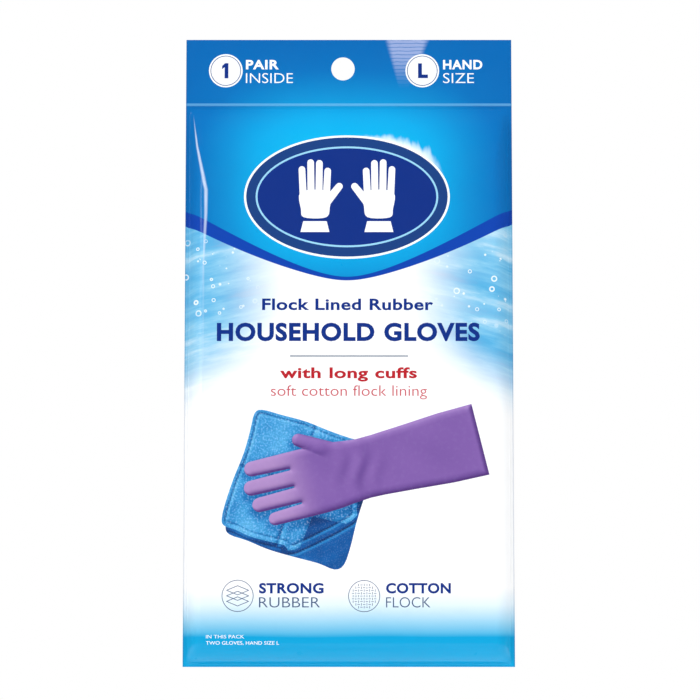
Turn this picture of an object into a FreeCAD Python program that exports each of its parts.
"""A pair of folded household rubber gloves in a flat film pouch that hangs on a peg by a punched header.

Frame, millimetres: the origin is the centre of the hang hole, on the plane where the two films are
welded together. +Z is up, +X is to the right of the printed front, and the printed front faces -Y.
"""

import FreeCAD
import Part
import math
import os

Vector = FreeCAD.Vector

# Pouch outline
PACK_HEIGHT = 266.7
PACK_WIDTH = 139.0
HOLE_RADIUS = 5.0
HOLE_BELOW_TOP = 12.6
HOLE_LEFT_OF_CENTRE = 2.5
SEAL_BELOW_TOP = 28.2

# Film
FILM = 0.15
FOLD_GAP = 0.4
WELD_WIDTH = 1.5
FRONT_DEPTH = 7.8
BACK_DEPTH = 7.0
SIDE_SLOPE = 7.5
BOTTOM_SLOPE = 9.0
TOP_SLOPE = 15.0

# Stiffening card behind the front film
CARD_THICKNESS = 0.5
CARD_WIDTH = 123.0
CARD_CORNER = 4.0
CARD_FRONT_Y = -7.45
CARD_ABOVE_BOTTOM = 11.5
CARD_BELOW_SEAL = 34.5

# One glove, flat and folded once across the wrist
RUBBER = 0.45
FLOCK = 0.2
CUT_CLEAR = 1.0  # how far the inner volumes run past an open end, so that they cut it cleanly
LEAF = 1.9
LEAF_GAP = 0.4
THUMB_GAP = 0.3
PAIR_HALF_GAP = 0.3
FOLD_ABOVE_BOTTOM = 11.0
FOLD_HALF_WIDTH = 50.0
PALM_HALF_WIDTH = 56.0
PALM_FULL_AT = 60.0
CUFF_LENGTH = 195.0
CUFF_HALF_WIDTH = 60.0
CROTCH_RADIUS = 0.85
CROTCH_HEIGHTS = (112.0, 118.0, 118.0)
FINGER_RADII = (12.2, 13.4, 13.9, 13.9)  # little, ring, middle, index
FINGER_TOPS = (170.0, 191.0, 198.0, 190.0)
THUMB_RADIUS = 13.5
THUMB_ROOT_RADIUS = 12.5
THUMB_BASE = (38.0, 46.0)
THUMB_TIP = (8.0, 99.0)

# Places that follow from them
CENTRE_X = HOLE_LEFT_OF_CENTRE
TOP_Z = HOLE_BELOW_TOP
BOTTOM_Z = TOP_Z - PACK_HEIGHT
SEAL_Z = TOP_Z - SEAL_BELOW_TOP
FOLD_Z = BOTTOM_Z + FOLD_ABOVE_BOTTOM


def save(shape, name):
    """Writes one node after testing that it is sound."""
    if not shape.isValid() or shape.Volume <= 0:
        raise ValueError(name + " is not a sound solid")
    shape.exportStep(os.path.join("parts", name + ".step"))
    box = shape.BoundBox
    print(f"{name}: {len(shape.Solids)} solid, {shape.Volume:.0f} mm3, "
          f"y {box.YMin:.2f} to {box.YMax:.2f}, z {box.ZMin:.1f} to {box.ZMax:.1f}")


def prism(points, y_low, y_high):
    """A plate between two depths whose outline is a closed polygon of (x, z) corners."""
    corners = [Vector(x, y_low, z) for x, z in points]
    outline = Part.makePolygon(corners + corners[:1])
    return Part.Face(outline).extrude(Vector(0, y_high - y_low, 0))


def plate(width, low_z, high_z, y_low, y_high):
    """An upright rectangular plate on the pack's centre line."""
    corner = Vector(CENTRE_X - width / 2, y_low, low_z)
    return Part.makeBox(width, y_high - y_low, high_z - low_z, corner)


def disc(x, z, radius, y_low, y_high):
    """A cylinder through the thickness of the pack."""
    return Part.makeCylinder(radius, y_high - y_low, Vector(x, y_low, z), Vector(0, 1, 0))


# Header and pouch films


def header_film(y_low, y_high):
    """One film of the header, with the hang hole through it."""
    sheet = plate(PACK_WIDTH, SEAL_Z + FOLD_GAP, TOP_Z, y_low, y_high)
    return sheet.cut(disc(0, 0, HOLE_RADIUS, y_low - 1, y_high + 1))


def swell(distance, slope):
    """Share of the full depth at a distance inside the weld: a quarter ellipse that ends level."""
    share = min(max(distance / slope, 0.0), 1.0)
    return math.sqrt(1 - (1 - share) ** 2)


def stations(length, low_slope, high_slope, inner_count):
    """Distances along a side of the pouch, close together over the welds and the slopes."""
    weld = [WELD_WIDTH * k / 3 for k in range(4)]
    rise = (0.07, 0.18, 0.34, 0.55, 0.8, 1.1)  # shares of a slope, closest where it is steepest
    low = weld + [WELD_WIDTH + low_slope * k for k in rise]
    high = [length - d for d in weld + [WELD_WIDTH + high_slope * k for k in rise]]
    span = high[-1] - low[-1]
    inner = [low[-1] + span * (k + 1) / (inner_count + 1) for k in range(inner_count)]
    return low + inner + high[::-1]


def clamped_knots(count, degree):
    """Knots and multiplicities of an open uniform spline with that many poles."""
    knots = [float(k) for k in range(count - degree + 1)]
    multiplicities = [degree + 1] + [1] * (len(knots) - 2) + [degree + 1]
    return knots, multiplicities


def pouch_film(side, depth):
    """One film of the pouch: flat at its welded edges and swollen over its contents.
    side is -1 for the front and +1 for the back."""
    top_z = SEAL_Z - FOLD_GAP
    height = top_z - BOTTOM_Z
    ups = stations(height, BOTTOM_SLOPE, TOP_SLOPE, 9)
    across = stations(PACK_WIDTH, SIDE_SLOPE, SIDE_SLOPE, 7)
    poles = []
    for up in ups:
        rise = swell(up - WELD_WIDTH, BOTTOM_SLOPE) * swell(height - up - WELD_WIDTH, TOP_SLOPE)
        row = []
        for along in across:
            edge = min(along, PACK_WIDTH - along)
            swollen = depth * rise * swell(edge - WELD_WIDTH, SIDE_SLOPE)
            y = side * swollen - (FILM if side < 0 else 0.0)
            row.append(Vector(CENTRE_X - PACK_WIDTH / 2 + along, y, BOTTOM_Z + up))
        poles.append(row)
    degree = 3
    up_knots, up_mults = clamped_knots(len(ups), degree)
    across_knots, across_mults = clamped_knots(len(across), degree)
    surface = Part.BSplineSurface()
    surface.buildFromPolesMultsKnots(poles, up_mults, across_mults, up_knots, across_knots,
                                     False, False, degree, degree)
    return surface.toShape().extrude(Vector(0, FILM, 0))


def card():
    """The flat board that keeps the front of the pack smooth."""
    low_z = BOTTOM_Z + CARD_ABOVE_BOTTOM
    high_z = SEAL_Z - CARD_BELOW_SEAL
    board = plate(CARD_WIDTH, low_z, high_z, CARD_FRONT_Y, CARD_FRONT_Y + CARD_THICKNESS)
    through = [edge for edge in board.Edges if abs(edge.tangentAt(edge.FirstParameter).y) > 0.9]
    return board.makeFillet(CARD_CORNER, through)


# Gloves. Each helper takes an inset: 0 gives the outside of the rubber, RUBBER the face where the
# flock lining starts, and RUBBER + FLOCK the hollow for the hand.


def hand_face(inset):
    """Outline of the palm and four fingers at y = 0, from the wrist fold upwards."""
    edges = []
    here = [None]

    def go(x, z):
        there = Vector(CENTRE_X + x, 0, FOLD_Z + z)
        if here[0] is not None and (there - here[0]).Length > 1e-6:
            edges.append(Part.LineSegment(here[0], there).toShape())
        here[0] = there

    def bow(middle_x, middle_z, end_x, end_z):
        middle = Vector(CENTRE_X + middle_x, 0, FOLD_Z + middle_z)
        end = Vector(CENTRE_X + end_x, 0, FOLD_Z + end_z)
        edges.append(Part.Arc(here[0], middle, end).toShape())
        here[0] = end

    go(-FOLD_HALF_WIDTH + inset, 0)
    go(-PALM_HALF_WIDTH + inset, PALM_FULL_AT)
    left = -PALM_HALF_WIDTH
    for k, (radius, top) in enumerate(zip(FINGER_RADII, FINGER_TOPS)):
        centre = left + radius
        reach = radius - inset
        go(centre - reach, top - radius)
        bow(centre, top - inset, centre + reach, top - radius)
        if k < len(CROTCH_HEIGHTS):
            gap_centre = centre + radius + CROTCH_RADIUS
            gap = CROTCH_RADIUS + inset
            go(gap_centre - gap, CROTCH_HEIGHTS[k])
            bow(gap_centre, CROTCH_HEIGHTS[k] - gap, gap_centre + gap, CROTCH_HEIGHTS[k])
            left = gap_centre + CROTCH_RADIUS
    go(centre + reach, PALM_FULL_AT)
    go(FOLD_HALF_WIDTH - inset, 0)
    go(-FOLD_HALF_WIDTH + inset, 0)
    return Part.Face(Part.Wire(edges))


def slab(face, y_low, y_high):
    """A face at y = 0 made solid between two depths."""
    moved = face.copy()
    moved.translate(Vector(0, y_low, 0))
    return moved.extrude(Vector(0, y_high - y_low, 0))


def wrist_fold(y_centre, inset):
    """The half turn at the bottom that joins the hand leaf to the cuff leaf."""
    outer = LEAF_GAP / 2 + LEAF - inset
    inner = LEAF_GAP / 2 + inset
    x_low = CENTRE_X - FOLD_HALF_WIDTH + inset

    def at(y, z):
        return Vector(x_low, y_centre + y, FOLD_Z + z)

    edges = [
        Part.Arc(at(-outer, 0), at(0, -outer), at(outer, 0)).toShape(),
        Part.LineSegment(at(outer, 0), at(inner, 0)).toShape(),
        Part.Arc(at(inner, 0), at(0, -inner), at(-inner, 0)).toShape(),
        Part.LineSegment(at(-inner, 0), at(-outer, 0)).toShape(),
    ]
    return Part.Face(Part.Wire(edges)).extrude(Vector(2 * (FOLD_HALF_WIDTH - inset), 0, 0))


def thumb(inset, y_low, y_high):
    """The thumb, a round-ended lobe folded over the palm."""
    (bx, bz), (tx, tz) = THUMB_BASE, THUMB_TIP
    radius = THUMB_RADIUS - inset
    length = math.hypot(tx - bx, tz - bz)
    ax, az = (bz - tz) / length * radius, (tx - bx) / length * radius
    corners = []
    for x, z in ((bx + ax, bz + az), (bx - ax, bz - az), (tx - ax, tz - az), (tx + ax, tz + az)):
        corners.append((CENTRE_X + x, FOLD_Z + z))
    lobe = prism(corners, y_low, y_high)
    for x, z in (THUMB_BASE, THUMB_TIP):
        lobe = lobe.fuse(disc(CENTRE_X + x, FOLD_Z + z, radius, y_low, y_high))
    return lobe


def glove_volume(side, inset, past_cuff):
    """Everything inside one inset of a folded glove. side is -1 for the front glove and +1 for the
    back one; the cuff leaf is next to the middle of the pack and the palm faces out of it."""
    cuff_near = PAIR_HALF_GAP
    cuff_far = cuff_near + LEAF
    hand_near = cuff_far + LEAF_GAP
    hand_far = hand_near + LEAF
    thumb_near = hand_far + THUMB_GAP
    thumb_far = thumb_near + LEAF

    def depths(near, far):
        return sorted((side * near, side * far))

    hand = slab(hand_face(inset), *depths(hand_near + inset, hand_far - inset))
    cuff_corners = []
    for across, up in ((-1, 0), (1, 0), (1, 1), (-1, 1)):
        half = FOLD_HALF_WIDTH + up * (CUFF_HALF_WIDTH - FOLD_HALF_WIDTH) - inset
        z = FOLD_Z + up * (CUFF_LENGTH + past_cuff)
        cuff_corners.append((CENTRE_X + across * half, z))
    cuff = prism(cuff_corners, *depths(cuff_near + inset, cuff_far - inset))
    fold = wrist_fold(side * (cuff_far + LEAF_GAP / 2), inset)
    lobe = thumb(inset, *depths(thumb_near + inset, thumb_far - inset))
    root = disc(CENTRE_X + THUMB_BASE[0], FOLD_Z + THUMB_BASE[1], THUMB_ROOT_RADIUS - inset,
                *depths(hand_near + LEAF / 2, thumb_far - LEAF / 2))
    return hand.fuse([cuff, fold, lobe, root]).removeSplitter()


def glove(side):
    """The rubber shell and the flock lining of one glove."""
    outside = glove_volume(side, 0.0, 0.0)
    bonded = glove_volume(side, RUBBER, CUT_CLEAR)
    hollow = glove_volume(side, RUBBER + FLOCK, 2 * CUT_CLEAR)
    shell = outside.cut(bonded)
    lining = bonded.cut(hollow).common(outside)
    return shell, lining


def main():
    os.makedirs("parts", exist_ok=True)
    save(header_film(-FILM, 0.0), "header_front_film")
    save(header_film(0.0, FILM), "header_back_film")
    save(pouch_film(-1, FRONT_DEPTH), "pouch_front_film")
    save(pouch_film(1, BACK_DEPTH), "pouch_back_film")
    save(card(), "stiffener_card")
    for side, name in ((-1, "right_glove"), (1, "left_glove")):
        shell, lining = glove(side)
        save(shell, name + "_rubber_shell")
        save(lining, name + "_flock_lining")


main()
